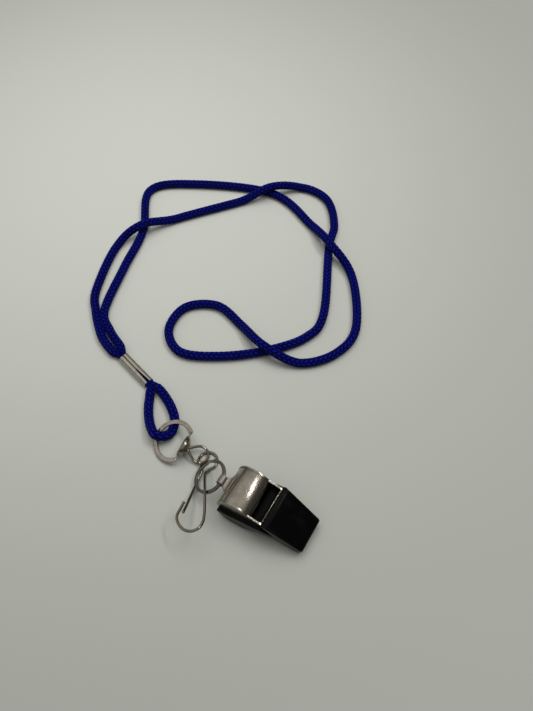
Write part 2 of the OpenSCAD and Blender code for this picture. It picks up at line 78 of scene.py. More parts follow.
# %% [markdown]
# ## Where the pieces stand
#
# Each group of pieces is drawn lying flat at its own origin and is then put in its
# place. The whistle rests on its side plates and on the lower edge of its mouth
# grip, which gives its tilt. The ring hangs from the lug, and everything from the
# hook to the cord is placed from the ring's far end, as in the CAD model.

# %% Places
SHIFT_X, SHIFT_Y = 12.14, 6.3
PLATE_RADIUS = 10.4
MOUTH, MOUTH_LOW, CORNER = 38.3, -0.6, 1.5
rest_x, rest_z = MOUTH - CORNER, MOUTH_LOW + CORNER
pitch = math.asin((PLATE_RADIUS - CORNER) / math.hypot(rest_x, rest_z)) + math.atan2(rest_z, rest_x)
whistle_place = Matrix.Translation((SHIFT_X, SHIFT_Y, PLATE_RADIUS)) @ Matrix.Rotation(pitch, 4, "Y")
LUG_EYE = Vector((-14.3, 0, -1.7))
RING_RADIUS, RING_END_HEIGHT = 8.8, 3.68
lug_eye = whistle_place @ LUG_EYE
ring_tilt = math.asin((lug_eye.z - RING_END_HEIGHT) / (2 * RING_RADIUS))
chain_place = Matrix.Translation((lug_eye.x - 2 * RING_RADIUS * math.cos(ring_tilt), SHIFT_Y, 0))
print("tilt of the whistle and the ring:", [round(math.degrees(a), 2) for a in (pitch, ring_tilt)])

# %% [markdown]
# ## Shader maths as plain Python
#
# A finish is easier to read as a sum than as a web of nodes. `Value` wraps one
# output socket and adds a Math node for each operator. `Finish` is one material:
# its `node` method adds any other node, with its settings and its inputs.

# %% Value and Finish
class Value:
    def __init__(self, finish, socket):
        self.finish, self.socket = finish, socket

    def math(self, operation, *others):
        inputs = dict(enumerate((self,) + others))
        return self.finish.node("ShaderNodeMath", {"operation": operation}, inputs)

    def __add__(self, other):
        return self.math("ADD", other)

    def __sub__(self, other):
        return self.math("SUBTRACT", other)

    def __rsub__(self, other):
        return (self * -1).math("ADD", other)

    def __mul__(self, other):
        return self.math("MULTIPLY", other)

    def clamp(self, low, high):
        return self.math("MAXIMUM", low).math("MINIMUM", high)

    def band(self, low, high, soft=True):
        """0 below low and 1 above high."""
        settings = {"interpolation_type": "SMOOTHSTEP" if soft else "LINEAR"}
        return self.finish.node("ShaderNodeMapRange", settings, {0: self, 1: low, 2: high})

    __radd__, __rmul__ = __add__, __mul__


class Finish:
    def __init__(self, name, **fixed):
        self.material = bpy.data.materials.new(name)
        self.material.use_nodes = True
        self.tree = self.material.node_tree
        self.shader = self.tree.nodes["Principled BSDF"]
        for socket, value in fixed.items():
            self.shader.inputs[socket.replace("_", " ")].default_value = value

    def node(self, kind, settings=None, inputs=None, output=0):
        made = self.tree.nodes.new(kind)
        for name, value in (settings or {}).items():
            setattr(made, name, value)
        for name, value in (inputs or {}).items():
            if isinstance(value, Value):
                self.tree.links.new(value.socket, made.inputs[name])
            else:
                made.inputs[name].default_value = value
        return Value(self, made.outputs[output])

    def place(self, scale=(1, 1, 1), turn=(0, 0, 0)):
        """The object's own coordinates, scaled and turned."""
        spot = self.node("ShaderNodeTexCoord", output="Object")
        return self.node("ShaderNodeMapping", {}, {"Vector": spot, "Scale": scale, "Rotation": turn})

    def noise(self, vector, scale, detail=3, rough=0.5):
        inputs = {"Vector": vector, "Scale": scale, "Detail": detail, "Roughness": rough}
        return self.node("ShaderNodeTexNoise", {}, inputs)

    def colours(self, factor, *stops):
        """A colour ramp; its stops are given from low to high."""
        ramp = self.node("ShaderNodeValToRGB", {}, {"Fac": factor})
        row = ramp.socket.node.color_ramp.elements
        for i, (spot, colour) in enumerate(stops):
            stop = row[i] if i < 2 else row.new(spot)
            stop.position, stop.color = spot, (*colour, 1)
        return ramp

    def blend(self, factor, first, second):
        return self.node("ShaderNodeMix", {"data_type": "RGBA"}, {0: factor, 6: first, 7: second}, output=2)

    def wear(self, **links):
        """Links values to the shader's own sockets."""
        for socket, value in links.items():
            self.tree.links.new(value.socket, self.shader.inputs[socket.replace("_", " ")])
        return self

    def bump(self, height, depth, strength=1.0, under=None):
        inputs = {"Height": height, "Distance": depth, "Strength": strength}
        if under:
            inputs["Normal"] = under
        return self.node("ShaderNodeBump", {}, inputs)


# %% [markdown]
# ## One way to finish a piece
#
# Every piece ends in the same way: it is scaled to metres in its place, gets its
# material, rides on its CAD body and stands for the CAD node that it replaces.
# Its curves are shaded smooth. A large flat face stays flat, because smoothing it
# into its rounded edge would bend what it mirrors. Sharp edges of a new shape are
# rounded first, as tools and wear leave them, and a part can be joined to another.

# %% Finish a piece
def rounded(bm, width, segments, sharper, edges=None):
    """Rounds the edges of a bmesh that are sharper than an angle in degrees."""
    bm.normal_update()
    sharp = [e for e in (edges or bm.edges)
             if len(e.link_faces) == 2 and e.calc_face_angle(0) > math.radians(sharper)]
    bmesh.ops.bevel(bm, geom=sharp, offset=width, offset_type="OFFSET", affect="EDGES", segments=segments,
                    profile=0.5, material=-1, clamp_overlap=True)


def join(bm, part):
    """Moves a second bmesh into the first."""
    mesh = bpy.data.meshes.new("part")
    part.to_mesh(mesh)
    part.free()
    bm.from_mesh(mesh)
    bpy.data.meshes.remove(mesh)


LARGE_FACE = 40 * MM**2


def finished(bm, name, body, finish, node, place=Matrix(), smooth=30):
    """Turns a bmesh in millimetres into the finished piece for one CAD node."""
    bmesh.ops.transform(bm, matrix=Matrix.Scale(MM, 4) @ place, verts=bm.verts)
    mesh = bpy.data.meshes.new(name)
    bm.to_mesh(mesh)
    bm.free()
    mesh.shade_smooth()
    if smooth:
        mesh.set_sharp_from_angle(angle=math.radians(smooth))
        for face in mesh.polygons:
            face.use_smooth = face.area < LARGE_FACE
    mesh.materials.append(finish.material)
    piece = bpy.data.objects.new(name, mesh)
    bpy.context.scene.collection.objects.link(piece)
    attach(piece, body)
    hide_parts(node)
    spots = np.array([v.co for v in mesh.vertices]) / MM
    print(f"{name}: {len(mesh.polygons)} faces, {spots.min(0).round(1)} to {spots.max(0).round(1)} mm")
    return piece


# %% [markdown]
# ## Tubes along a smooth path
#
# The cord and the wires are tubes. A flat grid is rolled up round the path, one
# row of the grid for each step along it, so the grid's UV map runs along and
# around the tube with a clean seam. A list of radii can pinch or round the tube.

# %% Paths and tubes
def smooth_path(points, step):
    """Points about one step apart on a smooth curve through the given points."""
    p = np.array(points, float)
    p = np.vstack([p[:1], p, p[-1:]])
    t = np.linspace(0, 1, 48, endpoint=False)[:, None]
    runs = [(2 * b + (c - a) * t + (2 * a - 5 * b + 4 * c - d) * t**2 + (3 * b - a - 3 * c + d) * t**3) / 2
            for a, b, c, d in zip(p, p[1:], p[2:], p[3:])]
    fine = np.vstack(runs + [p[-1:]])
    run = np.r_[0, np.cumsum(np.linalg.norm(np.diff(fine, axis=0), axis=1))]
    even = np.linspace(0, run[-1], round(run[-1] / step) + 1)
    return np.column_stack([np.interp(even, run, fine[:, k]) for k in range(3)]), even


def tube(path, across, upward_radius, around, relief=None):
    """A bmesh tube: across and upward_radius are its half sizes at each step."""
    steps = len(path) - 1
    bm = bmesh.new()
    bmesh.ops.create_grid(bm, x_segments=steps, y_segments=around, size=1, calc_uvs=False)
    grid = np.array([v.co for v in bm.verts])
    i = np.rint((grid[:, 0] + 1) / 2 * steps).astype(int)
    k = np.rint((grid[:, 1] + 1) / 2 * around).astype(int)
    ahead = np.gradient(path, axis=0)
    ahead /= np.linalg.norm(ahead, axis=1)[:, None]
    side = np.cross(ahead, (0, 0, 1))
    side /= np.linalg.norm(side, axis=1)[:, None]
    lift = np.cross(side, ahead)
    angle = 2 * np.pi * k / around
    swell = 1 if relief is None else relief(i, k)
    spots = path[i] + side[i] * (across[i] * swell * np.cos(angle))[:, None] \
        + lift[i] * (upward_radius[i] * swell * np.sin(angle))[:, None]
    uv = bm.loops.layers.uv.new("along")
    place_of = {}
    for v, spot, a, b in zip(bm.verts, spots, i, k):
        place_of[v] = (a / steps, b / around)
        v.co = spot
    for face in bm.faces:
        for loop in face.loops:
            loop[uv].uv = place_of[loop.vert]
    bmesh.ops.remove_doubles(bm, verts=bm.verts, dist=1e-4)
    ends = [e for e in bm.edges if e.is_boundary]
    if ends:
        bmesh.ops.holes_fill(bm, edges=ends, sides=0)
    bmesh.ops.recalc_face_normals(bm, faces=bm.faces)
    return bm


# %% [markdown]
# ## The braided cord
#
# The cord is a tubular braid of sixteen strands: eight wind one way and eight the
# other, each over two and under two. That makes the columns of small V shapes
# along the cord. A drawn texture would stay flat at the edges, so the strands are
# real relief on the tube, and the finer filaments are left to the material. The
# strands stand a little proud of the CAD model's tube, except near the ferrule,
# which squeezes them, and the two ends are pinched where they press on each other.

# %% Braid relief
CORD, PROUD = 5.0, 1.09
STRANDS, LEAD = 8, 23.0
ROUNDING, BODY, LIFT = 0.92, 0.55, 0.45
SQUEEZED, FREE, PRESSED = 12, 18, 40
NARROW, LOW = 1.2, 1.55


def braid_height(turn, run):
    """0 in the gaps between strands and 1 on top of one, at a place on the tube."""
    a, b = turn + run, turn - run
    i, j = np.floor(a), np.floor(b)
    round_a = np.sqrt(1 - ROUNDING * (2 * (a - i) - 1) ** 2)
    round_b = np.sqrt(1 - ROUNDING * (2 * (b - j) - 1) ** 2)
    over_a = 0.5 + 0.5 * np.cos(np.pi / 2 * (b + i - 1))
    over_b = 0.5 + 0.5 * np.cos(np.pi / 2 * (a + j - 3))
    return np.maximum(BODY * round_a + LIFT * over_a, BODY * round_b + LIFT * over_b)


def cord_piece(route, depth=0.22, around=48, step=0.5):
    """A braided cord along its route, with its centre line and its length in metres."""
    path, run = smooth_path(route, step)
    left = np.minimum(run, run[-1] - run)
    proud = 1 + (PROUD - 1) * np.clip((left - SQUEEZED) / (FREE - SQUEEZED), 0, 1)
    path[:, 2] = np.maximum(path[:, 2], CORD / 2) * proud
    apart = np.linalg.norm(path - path[::-1], axis=1)
    across = np.where(left < PRESSED, np.clip(apart / 2 - 0.03, NARROW, CORD / 2), CORD / 2)
    up = CORD / 2 - (CORD / 2 - LOW) * (CORD / 2 - across) / (CORD / 2 - NARROW)
    cells = run * STRANDS / LEAD

    def relief(i, k):
        """The tube of the CAD model is the middle of the braid's relief."""
        return proud[i] - depth * (1 - braid_height(k / around * STRANDS, cells[i]))

    bm = tube(path, across, up, around, relief)
    uv = bm.loops.layers.uv.active
    for face in bm.faces:
        for loop in face.loops:
            loop[uv].uv = (loop[uv].uv[0] * cells[-1], loop[uv].uv[1] * STRANDS)
    return bm, path * MM, run[-1] * MM


# %% [markdown]
# ## Where the cord lies
#
# The routes repeat the points of the CAD model. Both cords start and end inside
# the ferrule, side by side. Where the cord crosses itself it rises in a low hump.

# %% Cord routes
FERRULE_YAW, FERRULE_LENGTH, STRAND_APART = math.radians(-16.2), 23.7, 2.6
ferrule_middle = np.array(chain_place @ Vector((-66.1, 34.5, CORD / 2)))


def strand(end, side):
    """A point on one of the two strands in the ferrule, end from -1 to 1."""
    along = np.array((math.cos(FERRULE_YAW), math.sin(FERRULE_YAW), 0))
    across = np.array((-math.sin(FERRULE_YAW), math.cos(FERRULE_YAW), 0))
    return ferrule_middle + along * end * FERRULE_LENGTH / 2 + across * side * STRAND_APART / 2


def on_table(*points):
    """Places of a route: x and y from the ring's far end, and a height where it leaves the table."""
    return [np.array(chain_place @ Vector(p if len(p) == 3 else (*p, CORD / 2))) for p in points]


neck_route = [strand(0, -1), strand(-1, -1)] + on_table(
    (-82.2, 37.3), (-86.7, 38), (-97.7, 43), (-111.7, 55.5), (-121.7, 69), (-131.7, 104),
    (-124.7, 122.5, 7.8), (-111.7, 142.5), (-83.7, 176.5), (-69.2, 194.5, 7.8), (-53.7, 209.5),
    (-33.7, 208.5), (-18.7, 191), (-12.2, 171), (8.8, 124.5), (7.8, 104), (-8.7, 83), (-30.7, 66),
    (-51.2, 57.5), (-65.7, 67), (-66.2, 85.5), (-50.2, 96.5), (-30.7, 92), (-8.7, 83, 7.8),
    (13.3, 86.5), (28.3, 103), (30.3, 125.5), (10.3, 159), (-12.2, 171, 7.8), (-32.7, 183.5),
    (-69.2, 194.5), (-120.7, 174), (-141.7, 154), (-124.7, 122.5), (-117.2, 92), (-107.7, 59),
    (-95.7, 48.5), (-85.1, 43.4), (-81.3, 41.3),
) + [strand(-1, 1), strand(0, 1)]
eye_route = [strand(0, 1), strand(1, 1)] + on_table(
    (-50.2, 31.6), (-43.7, 29.6), (-35.7, 25.4), (-28.9, 19.6), (-26.1, 12.6), (-27.1, 8, 4.4),
    (-31.2, 5.4, 6), (-36.2, 8, 4.6), (-41.7, 13), (-46.2, 19), (-48.7, 23.5), (-51.5, 27.6),
) + [strand(1, -1), strand(0, -1)]
print("points on the two routes:", len(neck_route), len(eye_route))

# %% [markdown]
# ## The cord's colour
#
# The yarn is royal blue and nearly matt. Each strand is a flat bundle of filaments,
# so fine lines run along it. The material works out again which strand lies on
# top, from the same UV map, and turns the lines with that strand. Painted shade
# makes the gaps between the strands almost black, and a painted highlight makes
# their crowns a clear blue.

# %% Braided yarn
yarn = Finish("blue braided yarn", Sheen_Weight=0.01, Sheen_Roughness=0.4,
              Sheen_Tint=(0.15, 0.20, 1.0, 1), Specular_IOR_Level=0.04)
flat = yarn.node("ShaderNodeSeparateXYZ", {}, {0: yarn.node("ShaderNodeTexCoord", output="UV")})
along_cell, round_cell = flat, Value(yarn, flat.socket.node.outputs[1])
strand_a, strand_b = round_cell + along_cell, round_cell - along_cell


def humps(coordinate):
    """The rounding of one set of strands, as in the relief."""
    middle = coordinate.math("FRACT") * 2 - 1
    return (1 - middle * middle * ROUNDING).math("SQRT")


def over(crossing, index, start):
    """How far a strand is lifted where it goes over two others and under two."""
    return ((crossing + index.math("FLOOR") - start) * (math.pi / 2)).math("COSINE") * 0.5 + 0.5


height_a = humps(strand_a) * BODY + over(strand_b, strand_a, 1) * LIFT
height_b = humps(strand_b) * BODY + over(strand_a, strand_b, 3) * LIFT
a_on_top = (height_a - height_b).band(-0.04, 0.04)
top_height = height_a.math("MAXIMUM", height_b)
across_yarn = strand_a * a_on_top + strand_b * (1 - a_on_top)
along_yarn = strand_b * a_on_top + strand_a * (1 - a_on_top)
wander = yarn.noise(yarn.place((900, 900, 900)), 1.0, 2)
filaments = ((across_yarn * 8 + along_yarn * 0.6 + wander * 0.8) * (2 * math.pi)).math("SINE") * 0.5 + 0.5
fuzz = yarn.noise(yarn.place((5200, 5200, 5200)), 1.0, 3, 0.6)
patches = yarn.noise(yarn.place((120, 120, 120)), 1.0, 3)
# Painted light: a painted highlight lightens the crowns of the strands and painted shade darkens the gaps
# between them; the filaments, patches and fuzz are the yarn's own tone.
painted_crown_light = top_height.band(0.60, 0.98, soft=False)
shade = (painted_crown_light * 0.82 + filaments * 0.10 + patches * 0.16 + fuzz * 0.08 - 0.15).clamp(0, 1)
# The lowest stops give the painted shade in the gaps, the highest the painted highlight on the crowns.
yarn_colour = yarn.colours(shade, (0.12, (0.0002, 0.0002, 0.006)), (0.45, (0.0010, 0.0015, 0.060)),
                           (0.75, (0.0040, 0.0070, 0.185)), (1.0, (0.0120, 0.0240, 0.420)))
yarn_bump = yarn.bump(filaments * 0.25 + fuzz * 0.2 + top_height, 0.0005, 0.9)
yarn.wear(Base_Color=yarn_colour, Roughness=(0.72 - shade * 0.25), Normal=yarn_bump)
print("nodes in the yarn:", len(yarn.tree.nodes))

# %% [markdown]
# ## Laying the cords
#
# The neck loop and the small eye are one cord on the real object, caught twice in
# the ferrule. Each is made along its route, and its length is printed.

# %% Lay the cords
for node, route in (("neck_cord", neck_route), ("eye_cord", eye_route)):
    bm, line, length = cord_piece(route)
    piece = finished(bm, f"{node}_braid", "cord", yarn, node, smooth=None)
    print(node, "is", round(length, 3), "m long")

# %% [markdown]
# ## Metal finishes
#
# All the metal is nickel plate over brass or steel, dulled by use, so one function
# makes every finish. The barrel is satin: it is brushed round its curve and has
# small scratches. The wires are smooth and have gone dark, and the split ring and
# the cup are duller still. The flat ring and the lug look a little pink, where the
# plate is thin over brass, and the ferrule is the palest.

# %% Nickel
# The near-black colour of the painted shade inside the whistle.
PAINTED_SHADE_COLOUR = (0.002, 0.002, 0.002)


def metal(name, tone, rough, stain, scratch=1.0, coarse=1.0, brushed=0.0, inside=None):
    """Plated metal: cloudy tone, fine scratches in two directions, small pits, brushing and painted shade
    inside.
    """
    finish = Finish(name, Metallic=1.0, Specular_IOR_Level=0.1)
    clouds = finish.noise(finish.place((260 * coarse,) * 3), 1.0, 4, 0.6)
    streaks = finish.noise(finish.place((9000, 500, 900), (0.2, 0.3, 0.5)), 1.0, 2)
    cross_streaks = finish.noise(finish.place((700, 8000, 1200), (0.4, 0.1, -0.7)), 1.0, 2)
    pits = finish.noise(finish.place((3500,) * 3), 1.0, 2, 0.5).band(0.62, 0.75)
    lines = streaks.band(0.58, 0.74) * 0.7 + cross_streaks.band(0.62, 0.76) * 0.6
    dull = clouds.band(0.45, 0.72)
    colour = finish.blend(dull * 0.75, (*tone, 1), (*stain, 1))
    colour = finish.blend(lines * 0.25 * scratch, colour, (*[min(1, c * 1.35) for c in tone], 1))
    roughness = (dull * 0.07 + lines * 0.10 * scratch + pits * 0.1 + rough).clamp(0.05, 0.9)
    relief = finish.bump(lines * 0.8 * scratch + pits * 0.5 + clouds * 0.4, 0.00002, 0.5)
    if brushed:
        grooves = finish.noise(finish.place((260, 11000, 260)), 1.0, 3, 0.6)
        relief = finish.bump(grooves, 0.00004, brushed, relief)
    # Painted shade: where the mask is 1 the colour turns near-black, stops being metal and gets rougher.
    if inside:
        painted_shade_mask = inside(finish)
        colour = finish.blend(painted_shade_mask, colour, (*PAINTED_SHADE_COLOUR, 1))
        finish.wear(Metallic=1 - painted_shade_mask)
        roughness = roughness + painted_shade_mask * 0.3
    return finish.wear(Base_Color=colour, Roughness=roughness, Normal=relief)


bright_wire = metal("bright nickel wire", (0.26, 0.228, 0.178), 0.08, (0.16, 0.135, 0.10), 0.5)
ring_wire = metal("dull nickel wire", (0.22, 0.197, 0.158), 0.14, (0.12, 0.105, 0.08), 0.8)
dark_cup = metal("dark nickel sheet", (0.25, 0.225, 0.18), 0.2, (0.10, 0.09, 0.07), 0.6)
warm_strip = metal("warm nickel strip", (0.42, 0.365, 0.315), 0.24, (0.27, 0.225, 0.19), 0.8)
soldered_strip = metal("soldered nickel strip", (0.35, 0.31, 0.265), 0.50, (0.28, 0.24, 0.20), 1.2)
crimped_sheet = metal("crimped nickel sheet", (0.48, 0.445, 0.37), 0.18, (0.30, 0.27, 0.21), 0.8)
print("nodes in a metal:", len(bright_wire.tree.nodes))

# %% [markdown]
# ## The wire pieces
#
# The hook, its springy gate and the bail are bent from one size of round wire.
# Their centre lines are the CAD's own. The cut ends are rounded over by letting
# the radius shrink to nothing in the last half millimetre. On the real hook the
# gate is the same wire; here a narrow gap parts them, so that the gate can move.

# %% Bent wire
WIRE = 0.75
HOOK_LENGTH, HOOK_WIDTH, HOOK_RISE, HOOK_EYE = 38, 12, 16, 4.9
HOOK_AT, HOOK_YAW = (0.7, 3.4, 0), math.radians(-68)
HOOK_LOW, EYE_FROM, EYE_TO = 0.79, -36, -335
LAP_ANGLE, LAP_REACH, LAP_RISE = -66, 48, 2.2
GATE_GAP, WIRE_SMOOTH = 0.3, 60


def wire_piece(points, around=20, step=0.28):
    """A round wire bent through the points, with its ends rounded over."""
    path, run = smooth_path(points, step)
    left = np.minimum(run, run[-1] - run)
    radius = WIRE * np.sqrt(np.clip(1 - (1 - np.clip(left / (0.6 * WIRE), 0, 1)) ** 2, 0, 1))
    return tube(path, radius, radius, around)


hook_place = chain_place @ Matrix.Translation(HOOK_AT) @ Matrix.Rotation(HOOK_YAW, 4, "Z")


def hook_points(shares):
    """Points of the hook from shares of its length, width and rise."""
    return [(x * HOOK_LENGTH, y * HOOK_WIDTH, z * HOOK_RISE) for x, y, z in shares]


def eye_point(angle):
    """A point of the hook's eye, which rises where it laps over its own start."""
    turned = abs(angle - LAP_ANGLE) / LAP_REACH
    height = HOOK_LOW + (LAP_RISE * math.cos(math.radians(90 * turned)) if turned < 1 else 0)
    middle_x, middle_y = -0.147 * HOOK_LENGTH, 0.117 * HOOK_WIDTH
    turn = math.radians(angle)
    return (middle_x + HOOK_EYE * math.cos(turn), middle_y + HOOK_EYE * math.sin(turn), height)


stub = hook_points([(0, -0.065, 0.094), (-0.022, -0.058, 0.108)])
spine = hook_points([
    (0.02, 0.17, 0.09), (0.06, 0.13, 0.13), (0.18, 0.20, 0.35), (0.36, 0.34, 0.61), (0.55, 0.47, 0.75),
    (0.73, 0.57, 0.85), (0.84, 0.58, 0.91), (0.93, 0.48, 0.96), (0.99, 0.17, 0.98), (0.97, -0.16, 0.94),
    (0.89, -0.43, 0.88), (0.79, -0.55, 0.80), (0.67, -0.48, 0.71), (0.57, -0.41, 0.65)])
gate = hook_points([(0.05, -0.08, 0.09), (0.15, -0.14, 0.09), (0.26, -0.21, 0.12), (0.36, -0.24, 0.22),
                    (0.50, -0.28, 0.41), (0.63, -0.32, 0.56), (0.73, -0.36, 0.68)])
eye_turn = [eye_point(EYE_FROM + (EYE_TO - EYE_FROM) * i / 20) for i in range(21)]
finished(wire_piece(stub + eye_turn + spine), "hook_wire_bent", "hook", bright_wire, "hook_wire",
         hook_place, smooth=WIRE_SMOOTH)
out = (Vector(stub[0]) - Vector(stub[1])).normalized()
root = Vector(stub[0]) + out * GATE_GAP
finished(wire_piece([root] + gate), "gate_wire_bent", "gate", bright_wire, "gate_wire",
         hook_place, smooth=WIRE_SMOOTH)

# %% [markdown]
# ## The swivel
#
# The bail is a wire loop whose two feet pass through the hole of a small pressed
# cup and are spread behind it, so it turns freely and can't pull out. One half is
# listed and the other is its mirror image.

# %% Bail
SWIVEL_AT, SWIVEL_ROLL, CUP_NOD = (-14.6, 7.6, 6.3), math.radians(15.5), math.radians(21.5)
swivel_place = chain_place @ Matrix.Translation(SWIVEL_AT) @ Matrix.Rotation(SWIVEL_ROLL, 4, "X")
cup_place = swivel_place @ Matrix.Rotation(CUP_NOD, 4, "Y")
DOME_TOP, BAIL_LENGTH, BAIL_HALF, FOOT = 3.2, 11.4, 4.4, -1.95
LOOP_YAW = math.radians(5)
bail_feet = [(FOOT, 2.4), (WIRE / 4 + FOOT, 1.2), (-WIRE, 1.1 * WIRE)]
bail_half = bail_feet + [(x * BAIL_LENGTH, y * BAIL_HALF) for x, y in (
    (0.03, 0.2), (0.3, 0.72), (0.52, 0.98), (0.8, 0.86), (0.97, 0.42))]


def yawed(x, y):
    """Turns the loop a little, but not the feet in their hole."""
    a = LOOP_YAW if x > 0 else 0
    return (x * math.cos(a) - y * math.sin(a), x * math.sin(a) + y * math.cos(a), 0)


bail_points = [yawed(x, y) for x, y in bail_half] + [yawed(BAIL_LENGTH, 0)] \
    + [yawed(x, -y) for x, y in bail_half[::-1]]
finished(wire_piece(bail_points), "bail_wire_bent", "bail", bright_wire, "swivel_bail",
         cup_place @ Matrix.Translation((DOME_TOP, 0, 0)), smooth=WIRE_SMOOTH)

# %% [markdown]
# ## The cup
#
# The cup is pressed from sheet: a shallow dome with a hole and a straight skirt,
# which pivots on the clip ring's ends. Its closed outline, outer skin out and inner
# skin back, is spun once round, which is what a press does to a round blank.

# %% Cup
CUP_RADIUS, CUP_SHEET, CUP_HOLE, DOME_DEPTH = 5.85, 0.7, 1.85, 2.2


def spun(profile, steps):
    """Spins a closed (axial, radial) outline about X."""
    bm = bmesh.new()
    ring = [bm.verts.new((x, 0, r)) for x, r in profile]
    edges = [bm.edges.new((p, q)) for p, q in zip(ring, ring[1:] + ring[:1])]
    bmesh.ops.spin(bm, geom=ring + edges, cent=(0, 0, 0), axis=(1, 0, 0), angle=2 * math.pi, steps=steps,
                   use_merge=True)
    bmesh.ops.remove_doubles(bm, verts=bm.verts, dist=1e-4)
    bmesh.ops.recalc_face_normals(bm, faces=bm.faces)
    return bm


dome_radius = (CUP_RADIUS**2 + DOME_DEPTH**2) / (2 * DOME_DEPTH)
cup_outline = []
for inset, order in ((0, 1), (CUP_SHEET, -1)):
    r = dome_radius - inset
    arc = [(DOME_TOP - dome_radius + math.sqrt(r * r - q * q), q)
           for q in np.linspace(CUP_HOLE, CUP_RADIUS - 0.45 - inset, 12)]
    skirt = CUP_RADIUS - inset
    side = [(0.82 - 0.3 * inset, skirt - 0.08), (0.4, skirt), (-1.0, skirt)]
    cup_outline += (arc + side)[::order]
bm = spun([(float(x), float(r)) for x, r in cup_outline], 96)
rounded(bm, width=0.16, segments=3, sharper=50)
finished(bm, "cup_pressed", "cup", dark_cup, "swivel_cup", cup_place)

# %% [markdown]
# ## The clip ring
#
# A flat strip with softened corners, rolled to an open ring. Its two ends narrow
# to round tangs, which turn inward into the cup's skirt. The strip's section is
# spun round the middle, and the tangs are short tubes.

# %% Clip ring
def strip_section(width, thickness, corner, middle, turn):
    """A bmesh with one upright face: the rounded section of a strip, turned about Z."""
    bm = bmesh.new()
    bmesh.ops.create_grid(bm, x_segments=1, y_segments=1, size=0.5)
    bmesh.ops.scale(bm, vec=(width, thickness, 1), verts=bm.verts)
    bmesh.ops.rotate(bm, cent=(0, 0, 0), matrix=Matrix.Rotation(math.pi / 2, 3, "X"), verts=bm.verts)
    bmesh.ops.bevel(bm, geom=bm.verts[:], offset=corner, offset_type="OFFSET", affect="VERTICES", segments=4,
                    profile=0.5, material=-1, clamp_overlap=True)
    bmesh.ops.translate(bm, vec=middle, verts=bm.verts)
    bmesh.ops.rotate(bm, cent=(0, 0, 0), matrix=Matrix.Rotation(turn, 3, "Z"), verts=bm.verts)
    return bm


CLIP_RADIUS, CLIP_GAP, CLIP_NOD = 10.7, math.radians(50), math.radians(-11.7)
CLIP_STRIP, CLIP_THICKNESS = 2.5, 1.1
clip_place = swivel_place @ Matrix.Rotation(CLIP_NOD, 4, "Y")
bm = strip_section(CLIP_STRIP, CLIP_THICKNESS, 0.32, (CLIP_RADIUS, 0, 0), CLIP_GAP)
bmesh.ops.spin(bm, geom=bm.faces[:], cent=(0, 0, 0), axis=(0, 0, 1), angle=2 * (math.pi - CLIP_GAP),
               steps=110)
bmesh.ops.remove_doubles(bm, verts=bm.verts, dist=1e-4)
bmesh.ops.recalc_face_normals(bm, faces=bm.faces)
bm.normal_update()
bmesh.ops.translate(bm, vec=(-CLIP_RADIUS * math.cos(CLIP_GAP), 0, 0), verts=bm.verts)
side_reach = CLIP_RADIUS * math.sin(CLIP_GAP)
TANG_RADIUS, TANG_END, TANG_SWELL, TANG_STEP = 0.55, 4.7, 0.35, 0.2
for way in (-1, 1):
    inward = (side_reach + 0.3, side_reach - 1.6, TANG_END)
    shaft, _ = smooth_path([(0, way * y, 0) for y in inward], TANG_STEP)
    neck = np.clip(1 - np.arange(len(shaft)) * TANG_STEP / 1.4, 0, 1)
    radius = TANG_RADIUS + TANG_SWELL * neck**2
    join(bm, tube(shaft, radius, radius, 16))
finished(bm, "clip_ring_strip", "clip", warm_strip, "clip_ring", clip_place)

# %% [markdown]
# ## The split ring
#
# A split ring is one flat wire wound twice, with a short step from the lower turn
# to the upper one. A rounded section is spun in three runs: lower turn, step,
# upper turn. The step rises through `dvec`, the distance that each spin step adds.

# %% Split ring
RING_WIRE, TURN, RING_GAP = 1.7, 0.72, 0.06
RING_ROLL, RING_STEP_AT = math.radians(10), math.radians(118)
pitch_up = TURN + RING_GAP
step_angle = math.atan(RING_WIRE / RING_RADIUS)
reach = step_angle * 1.15
bm = strip_section(RING_WIRE, TURN, 0.24, (RING_RADIUS, 0, -pitch_up / 2), reach)
tip = bm.faces[:]
plain_turn = (2 * math.pi - reach - step_angle, 110, 0)
for angle, steps, climb in (plain_turn, (2 * step_angle, 10, pitch_up / 10), plain_turn):
    made = bmesh.ops.spin(bm, geom=tip, cent=(0, 0, 0), axis=(0, 0, 1), dvec=(0, 0, climb), angle=angle,
                          steps=steps)
    tip = [g for g in made["geom_last"] if isinstance(g, bmesh.types.BMFace)]
bmesh.ops.remove_doubles(bm, verts=bm.verts, dist=1e-4)
inner = [f for f in bm.faces if all(len(e.link_faces) > 2 for e in f.edges)]
bmesh.ops.delete(bm, geom=inner, context="FACES_ONLY")
bmesh.ops.recalc_face_normals(bm, faces=bm.faces)
ring_hung = Matrix.Translation(lug_eye) @ Matrix.Rotation(-ring_tilt, 4, "Y")
ring_middle = ring_hung @ Matrix.Translation((-RING_RADIUS, 0, 0))
ring_place = ring_middle @ Matrix.Rotation(RING_ROLL, 4, "X") @ Matrix.Rotation(RING_STEP_AT, 4, "Z")
finished(bm, "split_ring_wound", "ring", ring_wire, "split_ring", ring_place)

# %% [markdown]
# ## Painted shade inside
#
# Through the sound window the chamber and the windway lie in shade, and that shade
# is painted into the whistle's colour as near-black; only the cut edges of the sheet
# shine. The whistle's own finish is therefore told which side of the sheet it is on:
# a Mapping node turns the object's coordinates back into the whistle's own, in
# millimetres, where "inside" is a short sum.

# %% Satin nickel, painted shade inside
SHELL, SHEET = 10.2, 0.7
ROOF_REAR, ROOF_HEIGHT, SLOPE, WINDWAY = 12.9, 9.5, math.radians(9.9), 3.4
MOUTH_REACH, BEND, NARROWING, CLEAR_HALF = 37.5, 12.2, 2.8, 10
RAMP_SLOPE = 0.527


def roof_top(x):
    """Height of the windway's roof at a place along the whistle."""
    return ROOF_HEIGHT - (x - ROOF_REAR) * math.tan(SLOPE)


def floor_top(x):
    """Height of the windway's floor, square to the slope under the roof."""
    return roof_top(x) - (SHEET + WINDWAY) / math.cos(SLOPE)


